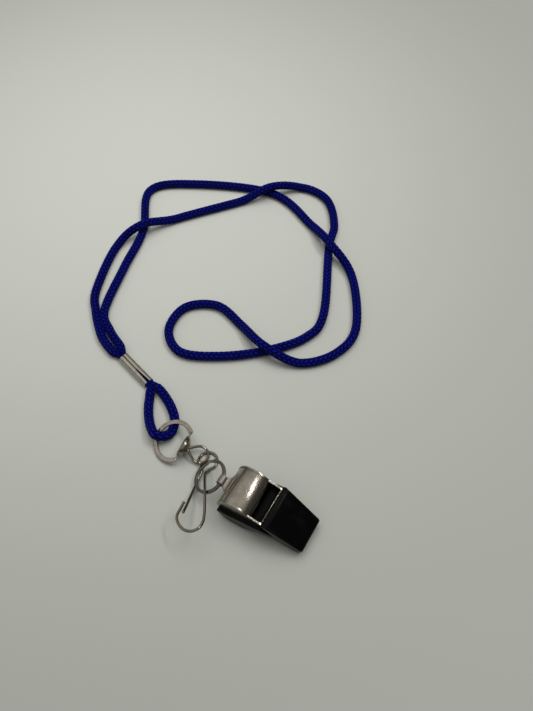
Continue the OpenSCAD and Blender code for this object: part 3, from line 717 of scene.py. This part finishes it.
def painted_shade_inside(finish):
    """1 where shade is painted on the inner skins of the chamber and the windway, 0 elsewhere."""
    back = whistle_place.inverted()
    spot = finish.node("ShaderNodeTexCoord", output="Object")
    own = finish.node("ShaderNodeMapping", {}, {"Vector": spot, "Scale": (1 / MM,) * 3,
                                                "Location": back.translation, "Rotation": back.to_euler()})
    x = finish.node("ShaderNodeSeparateXYZ", {}, {0: own})
    y, z = (Value(finish, x.socket.node.outputs[k]) for k in (1, 2))
    chamber = 1 - (x * x + z * z).math("SQRT").band(SHELL - 0.45, SHELL - 0.3)
    fall = x * -math.tan(SLOPE)
    above_floor = (z - fall).band(floor_top(0) - 0.4, floor_top(0) - 0.25)
    above_ramp = (z - x * RAMP_SLOPE).band(-0.95, -0.8)
    below_roof = 1 - (z - fall).band(roof_top(0) - 0.4, roof_top(0) - 0.25)
    windway = above_floor.math("MAXIMUM", above_ramp) * below_roof * x.band(8.4, 8.6)
    taper = (x - BEND).clamp(0, MOUTH) * (NARROWING / (MOUTH_REACH - BEND))
    between = 1 - (y.math("ABSOLUTE") + taper).band(CLEAR_HALF + 0.05, CLEAR_HALF + 0.15)
    return chamber.math("MAXIMUM", windway) * between


satin_nickel = metal("satin nickel sheet", (0.35, 0.315, 0.262), 0.17, (0.23, 0.20, 0.16),
                     brushed=0.5, inside=painted_shade_inside)
print("nodes in the satin nickel:", len(satin_nickel.tree.nodes))

# %% [markdown]
# ## The whistle's sheet metal
#
# The barrel is one strip: its free edge is the blowing lip, it rolls round the
# pea chamber and then runs forward as the floor of the windway. The strip is spun
# from a single edge and pulled forward, then the sheet gets its thickness.

# %% Barrel shell
def half_at(x):
    """Half the clear width between the side plates."""
    return CLEAR_HALF - max(0, x - BEND) * NARROWING / (MOUTH_REACH - BEND)


def verts_of(made):
    """The vertices among what an operator made."""
    return [g for g in made["geom"] if isinstance(g, bmesh.types.BMVert)]


def pull(bm, edges, x, z):
    """Extrudes edges that lie across the whistle to a new place in its side view."""
    made = bmesh.ops.extrude_edge_only(bm, edges=edges)
    moved = verts_of(made)
    for v in moved:
        v.co = (x, math.copysign(half_at(x), v.co.y), z)
    return [g for g in made["geom"] if isinstance(g, bmesh.types.BMEdge) and set(g.verts) <= set(moved)]


LIP_ANGLE, RAMP_ANGLE, RAMP_END = math.radians(46.5), math.radians(25), 11.32
inner_radius = SHELL - SHEET
lip_x, lip_z = inner_radius * math.cos(LIP_ANGLE), inner_radius * math.sin(LIP_ANGLE)
bm = bmesh.new()
lip = bm.edges.new([bm.verts.new((lip_x, y, lip_z)) for y in (-CLEAR_HALF, CLEAR_HALF)])
roll = 2 * math.pi - LIP_ANGLE + RAMP_ANGLE
made = bmesh.ops.spin(bm, geom=[lip], cent=(0, 0, 0), axis=(0, 1, 0), angle=-roll, steps=120)
edge = [g for g in made["geom_last"] if isinstance(g, bmesh.types.BMEdge)]
for x, z in ((11.0, floor_top(RAMP_END) - 0.35), (11.6, floor_top(RAMP_END) - 0.04), (BEND, floor_top(BEND)),
             (MOUTH_REACH, floor_top(MOUTH_REACH))):
    edge = pull(bm, edge, x, z)
bmesh.ops.recalc_face_normals(bm, faces=bm.faces)
top_face = max(bm.faces, key=lambda f: f.calc_center_median().z)
if top_face.normal.z < 0:
    bmesh.ops.reverse_faces(bm, faces=bm.faces)
bmesh.ops.solidify(bm, geom=bm.faces[:], thickness=-SHEET)
bmesh.ops.recalc_face_normals(bm, faces=bm.faces)
rounded(bm, width=0.12, segments=2, sharper=60)
finished(bm, "barrel_rolled", "whistle", satin_nickel, "barrel_shell", whistle_place)

# %% [markdown]
# ## Side plates and roof
#
# Each side plate is one blank: a disc that closes the barrel, with the cheek
# beside the window and the side of the mouthpiece. The blank is bent inward just
# ahead of the barrel. Its rim stands a little proud of the shell. The roof of the
# windway is a sloping plate between the two.

# %% Side plates and roof
PLATE_SHEET, UPRIGHT_SHEET = 1.0, 0.71
CHEEK, THROAT, THROAT_HEIGHT = math.radians(60.5), math.radians(18.36), 4.05


def side_view(start, middle, angle, steps, corners):
    """A bmesh with one upright face: an arc from the start round the middle, then straight edges."""
    bm = bmesh.new()
    first = bm.verts.new(start)
    bmesh.ops.spin(bm, geom=[first], cent=middle, axis=(0, 1, 0), angle=-angle, steps=steps)
    last = next(v for v in bm.verts if len(v.link_edges) == 1 and v != first)
    for x, z in corners:
        following = bm.verts.new((x, 0, z))
        bm.edges.new((last, following))
        last = following
    bm.edges.new((last, first))
    bmesh.ops.contextual_create(bm, geom=bm.edges[:])
    return bm


def side_plate(way):
    """The left plate for way 1 and the right one for way -1."""
    rim = (PLATE_RADIUS * math.cos(CHEEK), 0, PLATE_RADIUS * math.sin(CHEEK))
    bm = side_view(rim, (0, 0, 0), 2 * math.pi - CHEEK + THROAT, 96, (
        (BEND, THROAT_HEIGHT), (MOUTH_REACH, floor_top(MOUTH_REACH) - UPRIGHT_SHEET),
        (MOUTH_REACH, roof_top(MOUTH_REACH)), (BEND, roof_top(BEND))))
    bmesh.ops.bisect_plane(bm, geom=bm.verts[:] + bm.edges[:] + bm.faces[:], plane_co=(BEND, 0, 0),
                           plane_no=(1, 0, 0))
    made = bmesh.ops.extrude_face_region(bm, geom=bm.faces[:])
    for v in verts_of(made):
        v.co.y += PLATE_SHEET
    for v in bm.verts:
        v.co.y = way * (v.co.y + half_at(v.co.x))
    bmesh.ops.recalc_face_normals(bm, faces=bm.faces)
    rounded(bm, width=0.18, segments=3, sharper=40)
    return bm


for way, name in ((1, "left_side_plate"), (-1, "right_side_plate")):
    finished(side_plate(way), f"{name}_blank", "whistle", satin_nickel, name, whistle_place)

bm = bmesh.new()
bmesh.ops.create_grid(bm, x_segments=1, y_segments=1, size=1)
for v in bm.verts:
    x = ROOF_REAR if v.co.x < 0 else MOUTH_REACH
    v.co = (x, v.co.y * half_at(x), roof_top(x))
made = bmesh.ops.extrude_face_region(bm, geom=bm.faces[:])
bmesh.ops.translate(bm, vec=(0, 0, -UPRIGHT_SHEET), verts=verts_of(made))
bmesh.ops.recalc_face_normals(bm, faces=bm.faces)
rounded(bm, width=0.15, segments=3, sharper=40)
finished(bm, "roof_plate", "whistle", satin_nickel, "windway_roof", whistle_place)

# %% [markdown]
# ## The lug
#
# A strip is folded round a pin to make the eye, closed to a stem, and its two ends
# are flared and soldered to the back of the barrel. The ribbon's path is drawn from
# one foot, round the eye and back to the other foot, and then gets its thickness.

# %% Lug
LUG, EYE_RADIUS, EYE_GAP, FEET_GAP, FOOT_ARC = 0.8, 1.7, 0.28, 0.06, math.radians(30)
EYE_HALF, FOOT_HALF, FLARE, FLARE_START = 2.3, 5.8, 3.9, -13.9


def lug_half(x):
    """Half the width of the strip: narrow at the eye, flared at the barrel."""
    flared = min(FLARE, max(0, x - FLARE_START))
    return EYE_HALF + FLARE - math.sqrt(FLARE**2 - flared**2) if x < FLARE_START + FLARE else FOOT_HALF


def arc_points(middle, radius, first, last, count):
    """Points on an arc in the side view."""
    return [(middle.x + radius * math.cos(a), middle.z + radius * math.sin(a))
            for a in np.linspace(first, last, count)]


axle = Vector((0, 0, 0))
stem = math.atan2(LUG_EYE.z, LUG_EYE.x)
toward_barrel = stem + math.pi
foot_radius, fold_radius = SHELL + LUG / 2, EYE_RADIUS + LUG / 2
line = arc_points(axle, foot_radius, stem - FOOT_ARC, stem - FEET_GAP, 10)
line += arc_points(LUG_EYE, fold_radius, toward_barrel + EYE_GAP, toward_barrel + 2 * math.pi - EYE_GAP, 33)
line += arc_points(axle, foot_radius, stem + FEET_GAP, stem + FOOT_ARC, 10)
bm = bmesh.new()
row = [bm.verts.new((x, 0, z)) for x, z in line]
strip = [bm.edges.new(pair) for pair in zip(row, row[1:])]
made = bmesh.ops.extrude_edge_only(bm, edges=strip)
far = set(verts_of(made))
for v in bm.verts:
    v.co.y = lug_half(v.co.x) * (1 if v in far else -1)
crosswise = [e for e in bm.edges if (e.verts[0] in far) != (e.verts[1] in far)]
bmesh.ops.subdivide_edges(bm, edges=crosswise, cuts=4)
bmesh.ops.recalc_face_normals(bm, faces=bm.faces)
bmesh.ops.solidify(bm, geom=bm.faces[:], thickness=LUG / 2)
bmesh.ops.recalc_face_normals(bm, faces=bm.faces)
rounded(bm, width=0.14, segments=2, sharper=60)
finished(bm, "lug_folded", "whistle", soldered_strip, "lanyard_lug", whistle_place)

# %% [markdown]
# ## The mouth grip
#
# A black moulded sleeve is pushed over the mouthpiece. Its top has a ridge near
# the rear that the teeth close behind, and a wing reaches back along each side
# plate. A box is shaped and its edges are rounded; then both ends are inset and
# bridged, which opens the bore that the metal goes through.

# %% Grip sleeve
black = Finish("black moulded plastic", Specular_IOR_Level=0.1)
mould = black.noise(black.place((700,) * 3), 1.0, 3)
smears = black.noise(black.place((90, 160, 120), (0.3, 0.2, 0.7)), 1.0, 4, 0.6)
nicks = black.noise(black.place((2400, 500, 900), (0.2, 0.1, 0.6)), 1.0, 2).band(0.66, 0.76)
black.wear(
    Base_Color=black.blend(smears.band(0.45, 0.8), (0.0012, 0.0013, 0.0013, 1), (0.0035, 0.0038, 0.0037, 1)),
    Roughness=(smears.band(0.4, 0.8) * 0.06 + nicks * 0.12 + 0.09),
    Normal=black.bump(mould * 0.5 + nicks * -0.6, 0.00004, 0.35))


GRIP_REAR, GRIP_HALF, GRIP_TAPER = 13.2, 12, 2.4
REAR_EDGE, LONG_EDGE = 0.85, 1.25


def grip_half(x):
    """Half the width of the sleeve, which narrows towards the mouth."""
    return GRIP_HALF - GRIP_TAPER * (x - GRIP_REAR) / (MOUTH - GRIP_REAR)


bm = bmesh.new()
profile = ((GRIP_REAR, 1.5), (GRIP_REAR, 10.6), (15.6, 12.0), (MOUTH, 6.3), (MOUTH, MOUTH_LOW))
row = [bm.verts.new((x, 0, z)) for x, z in profile]
bmesh.ops.contextual_create(bm, geom=row)
made = bmesh.ops.extrude_face_region(bm, geom=bm.faces[:])
far = set(verts_of(made))
for v in bm.verts:
    v.co.y = grip_half(v.co.x) * (1 if v in far else -1)
bmesh.ops.recalc_face_normals(bm, faces=bm.faces)
rear_rim = [e for e in bm.edges if all(v.co.x < GRIP_REAR + 0.01 for v in e.verts)]
rounded(bm, width=REAR_EDGE, segments=4, sharper=10, edges=rear_rim)
rim_front = GRIP_REAR + REAR_EDGE + 0.05
long_edges = [e for e in bm.edges if e.calc_length() > 6 and any(v.co.x >= rim_front for v in e.verts)]
rounded(bm, width=LONG_EDGE, segments=6, sharper=10, edges=long_edges)
bm.normal_update()
rear_face = min(bm.faces, key=lambda f: f.calc_center_median().x)
front_face = max(bm.faces, key=lambda f: (round(f.calc_center_median().x, 2), f.calc_area()))
# Each mouth of the bore: its x, its lower and upper edge and half its width
mouths = ((rear_face, (GRIP_REAR + 0.15, 3.73, 9.5, 10.9)), (front_face, (MOUTH - 0.1, 0.18, 5.15, 8.18)))
loops = []
for face, (x, low, high, half) in mouths:
    bmesh.ops.inset_region(bm, faces=[face], thickness=0.25, depth=0)
    heights = [v.co.z for v in face.verts]
    middle, span = (min(heights) + max(heights)) / 2, (max(heights) - min(heights)) / 2
    breadth = max(abs(v.co.y) for v in face.verts)
    for v in face.verts:
        v.co = (x, v.co.y / breadth * half, (low + high) / 2 + (v.co.z - middle) / span * (high - low) / 2)
    loops.append(list(face.edges))
    bmesh.ops.delete(bm, geom=[face], context="FACES_ONLY")
bmesh.ops.bridge_loops(bm, edges=loops[0] + loops[1])
bmesh.ops.recalc_face_normals(bm, faces=bm.faces)

# %% [markdown]
# ## The grip's wings
#
# Seen from the side, a wing is round behind, cut off along a rising edge and runs
# into the sleeve. Its round rear starts where that edge meets the circle and ends
# where the line to the sleeve's lower corner touches it. Both wings are one blank,
# drawn twice, and they sink into the sleeve at the front.

# %% Grip wings
WING, WING_RADIUS, WING_RISE, WING_SUNK = 2.0, 11, 1, 0.3
wing_inner = CLEAR_HALF + PLATE_SHEET
RAKE, RAKE_HEIGHT, WING_FRONT = math.radians(29.3), -1.6, 23.5
corner_x, corner_z = 14.7, 2.25
corner_gap = math.hypot(corner_x, corner_z - WING_RISE)
touch_at = math.atan2(corner_z - WING_RISE, corner_x) - math.acos(WING_RADIUS / corner_gap)
rear_at = RAKE - math.pi + math.asin((WING_RISE - RAKE_HEIGHT) * math.cos(RAKE) / WING_RADIUS)
print("the wing's round rear turns through", round(math.degrees(touch_at - rear_at), 2), "degrees")


def wing(way):
    """The left wing for way 1 and the right one for way -1."""
    start = (WING_RADIUS * math.cos(rear_at), 0, WING_RISE + WING_RADIUS * math.sin(rear_at))
    part = side_view(start, (0, 0, WING_RISE), touch_at - rear_at, 28, (
        (corner_x, corner_z), (WING_FRONT, 1.6), (WING_FRONT, 5.0), (corner_x, 6.65)))
    made = bmesh.ops.extrude_face_region(part, geom=part.faces[:])
    for v in verts_of(made):
        v.co.y = WING if v.co.x < corner_x + 0.1 else 0.1
    for v in part.verts:
        v.co.y = way * ((wing_inner if v.co.x < corner_x + 0.1 else grip_half(v.co.x) - WING_SUNK) + v.co.y)
    bmesh.ops.recalc_face_normals(part, faces=part.faces)
    rounded(part, width=0.5, segments=4, sharper=35)
    return part


for way in (-1, 1):
    join(bm, wing(way))
finished(bm, "mouth_grip_moulded", "whistle", black, "mouth_grip", whistle_place, smooth=40)

# %% [markdown]
# ## The pea
#
# The pea is a turned cork ball, loose in the chamber. It is an icosphere, which has
# even faces all round. Cork shows dark pores and paler grain, and a cell pattern in
# the material draws the pores and makes them look like shallow pits.

# %% Pea
cork = Finish("turned cork", Specular_IOR_Level=0.2)
grain = cork.noise(cork.place((420,) * 3), 1.0, 5, 0.65)
cells = cork.node("ShaderNodeTexVoronoi", {}, {"Vector": cork.place((650,) * 3), "Scale": 1.0})
pores = cells.band(0.12, 0.3)
cork_colour = cork.colours(grain, (0.3, (0.30, 0.17, 0.08)), (0.7, (0.52, 0.35, 0.19)))
cork.wear(Base_Color=cork.blend(pores, (0.10, 0.05, 0.025, 1), cork_colour), Roughness=(0.95 - grain * 0.2),
          Normal=cork.bump(pores * 0.8 + grain * 0.6, 0.0003, 0.8))
PEA, PEA_HEIGHT = 4.98, 6.0
bm = bmesh.new()
bmesh.ops.create_icosphere(bm, subdivisions=5, radius=PEA)
pea_place = Matrix.Translation((SHIFT_X, SHIFT_Y, PEA_HEIGHT))
finished(bm, "pea_cork", "pea", cork, "pea", pea_place, smooth=None)

# %% [markdown]
# ## The ferrule
#
# Thin sheet is rolled from below round both strands and crimped, so it has two
# lobes with a seam between them on top. Towards the eye the seam opens and the
# blue yarn shows in it. A flat grid is bent like the sheet, each row to the section
# at its place along the length, and then gets its thickness.

# %% Ferrule
LOBE, LOBE_SHIFT, FERRULE_SHEET, HALF_ROUND = 1.9, 1.0, 0.4, 24
SEAM, SEAM_OPENS, SEAM_TURN, SEAM_FLATTENS = 0.12, 0.9, 0.42, 0.3
ferrule_place = Matrix.Translation(Vector(ferrule_middle)) @ Matrix.Rotation(FERRULE_YAW, 4, "Z")
lobe_mid = LOBE + FERRULE_SHEET / 2


def ferrule_section(share):
    """Half of the section, from the bottom middle to the seam, at a share of the length."""
    beyond = max(0, share - 0.5)
    seam = SEAM + beyond * 2 * SEAM_OPENS
    inward = SEAM_TURN - SEAM_FLATTENS * beyond
    waist = math.acos(LOBE_SHIFT / lobe_mid)
    top = math.pi - math.acos(min(1, (LOBE_SHIFT - seam) / lobe_mid))
    angles = np.linspace(-(math.pi - waist), top, HALF_ROUND + 1)
    points = [(LOBE_SHIFT + lobe_mid * math.cos(a), lobe_mid * math.sin(a)) for a in angles]
    return points[:-1] + [(points[-1][0] * 0.9, points[-1][1] - inward * 0.3)]


bm = bmesh.new()
bmesh.ops.create_grid(bm, x_segments=40, y_segments=2 * HALF_ROUND, size=1)
for v in bm.verts:
    share = (v.co.x + 1) / 2
    index = round(v.co.y * HALF_ROUND)
    y, z = ferrule_section(share)[abs(index)]
    flare = 1 + 0.035 * max(0, 1 - min(share, 1 - share) * 12) ** 2
    dent = 1 - 0.03 * math.exp(-((share - 0.5) / 0.09) ** 2)
    v.co = ((share - 0.5) * FERRULE_LENGTH, math.copysign(y, index if index else 1) * flare, z * flare * dent)
    if index == 0:
        v.co.y = 0
bmesh.ops.recalc_face_normals(bm, faces=bm.faces)
widest = max(bm.faces, key=lambda f: f.calc_center_median().y)
if widest.normal.y < 0:
    bmesh.ops.reverse_faces(bm, faces=bm.faces)
bmesh.ops.solidify(bm, geom=bm.faces[:], thickness=FERRULE_SHEET / 2)
bmesh.ops.recalc_face_normals(bm, faces=bm.faces)
rounded(bm, width=0.05, segments=2, sharper=60)
finished(bm, "ferrule_crimped", "cord", crimped_sheet, "ferrule", ferrule_place)

# %% [markdown]
# ## The table
#
# The table is a plain pale sheet with a painted pool of light: its colour darkens
# away from a middle near the cord. It is staged: it is seen in the picture but
# isn't a part of the object.

# %% Table
paper = Finish("pale table", Specular_IOR_Level=0.25)
tone = paper.noise(paper.place((3, 3, 3)), 1.0, 3)
spot = paper.node("ShaderNodeTexCoord", output="Object")
centred = paper.node("ShaderNodeMapping", {}, {"Vector": spot, "Location": (0.215, -0.165, 0)})
from_middle = paper.node("ShaderNodeVectorMath", {"operation": "LENGTH"}, {0: centred}, output=1)
# Painted pool of light: the colour darkens away from a middle near the cord.
painted_light_falloff = (from_middle + tone * 0.04).band(0.04, 0.40)
fibres = paper.noise(paper.place((900,) * 3), 1.0, 3)
paper.wear(Base_Color=paper.blend(painted_light_falloff, (0.548, 0.555, 0.508, 1), (0.362, 0.367, 0.330, 1)),
           Roughness=(tone * 0.1 + 0.55), Normal=paper.bump(fibres, 0.00003, 0.3))
bm = bmesh.new()
bmesh.ops.create_grid(bm, x_segments=2, y_segments=2, size=3)
mesh = bpy.data.meshes.new("table_top")
bm.to_mesh(mesh)
bm.free()
mesh.materials.append(paper.material)
table_top = bpy.data.objects.new("table_top", mesh)
table_top.location.z = -0.00002
bpy.context.scene.collection.objects.link(table_top)

# %% [markdown]
# ## The light
#
# A wide soft lamp hangs almost overhead, a little beyond the whistle, so the
# shadows are short and soft. It isn't mirrored, because it would show as a white
# disc in the metal. A long narrow lamp to the right draws the bright line along the
# barrel. The room is bright overhead and on the left and dark at the horizon and on
# the right, which gives the round wires their dark sides and keeps the grip black.

# %% Lamps
LIT = Vector((-0.03, 0.06, 0))


def lamp(name, toward, distance, length, depth, watts, mirrored=True):
    """An oval lamp that looks at the lit place from one direction."""
    data = bpy.data.lights.new(name, "AREA")
    data.shape, data.size, data.size_y, data.energy = "ELLIPSE", length, depth, watts
    holder = bpy.data.objects.new(name, data)
    holder.visible_glossy = mirrored
    spot = Vector(toward).normalized() * distance + LIT
    aim = (LIT - spot).to_track_quat("-Z", "Y")
    holder.matrix_world = Matrix.Translation(spot) @ aim.to_matrix().to_4x4()
    bpy.context.scene.collection.objects.link(holder)
    print(name, "lamp at", [round(x, 2) for x in spot], "in metres")


lamp("ceiling", (-0.13, 0.24, 0.96), 1.0, 0.9, 0.9, 5.4, mirrored=False)
lamp("side", (0.37, 0.34, 0.86), 1.2, 0.62, 0.10, 3.0)

# %% Room
world = bpy.data.worlds.new("room")
bpy.context.scene.world = world
world.use_nodes = True
sky = world.node_tree
direction = sky.nodes.new("ShaderNodeTexCoord")
height = sky.nodes.new("ShaderNodeVectorMath")
height.operation = "DOT_PRODUCT"
height.inputs[1].default_value = (-0.25, 0, 0.97)
room = sky.nodes.new("ShaderNodeValToRGB")
shades = ((0.0, 0.08), (1.0, 0.66), (0.42, 0.11), (0.54, 0.42), (0.72, 0.50), (0.90, 0.72))
for i, (spot, shade) in enumerate(shades):
    stop = room.color_ramp.elements[i] if i < 2 else room.color_ramp.elements.new(spot)
    stop.position, stop.color = spot, (shade * 0.985, shade, shade * 0.985, 1)
sky.links.new(direction.outputs["Generated"], height.inputs[0])
sky.links.new(height.outputs["Value"], room.inputs["Fac"])
sky.links.new(room.outputs["Color"], sky.nodes["Background"].inputs["Color"])
bpy.context.scene.view_settings.view_transform = "Standard"
print("steps of grey in the room:", len(shades))
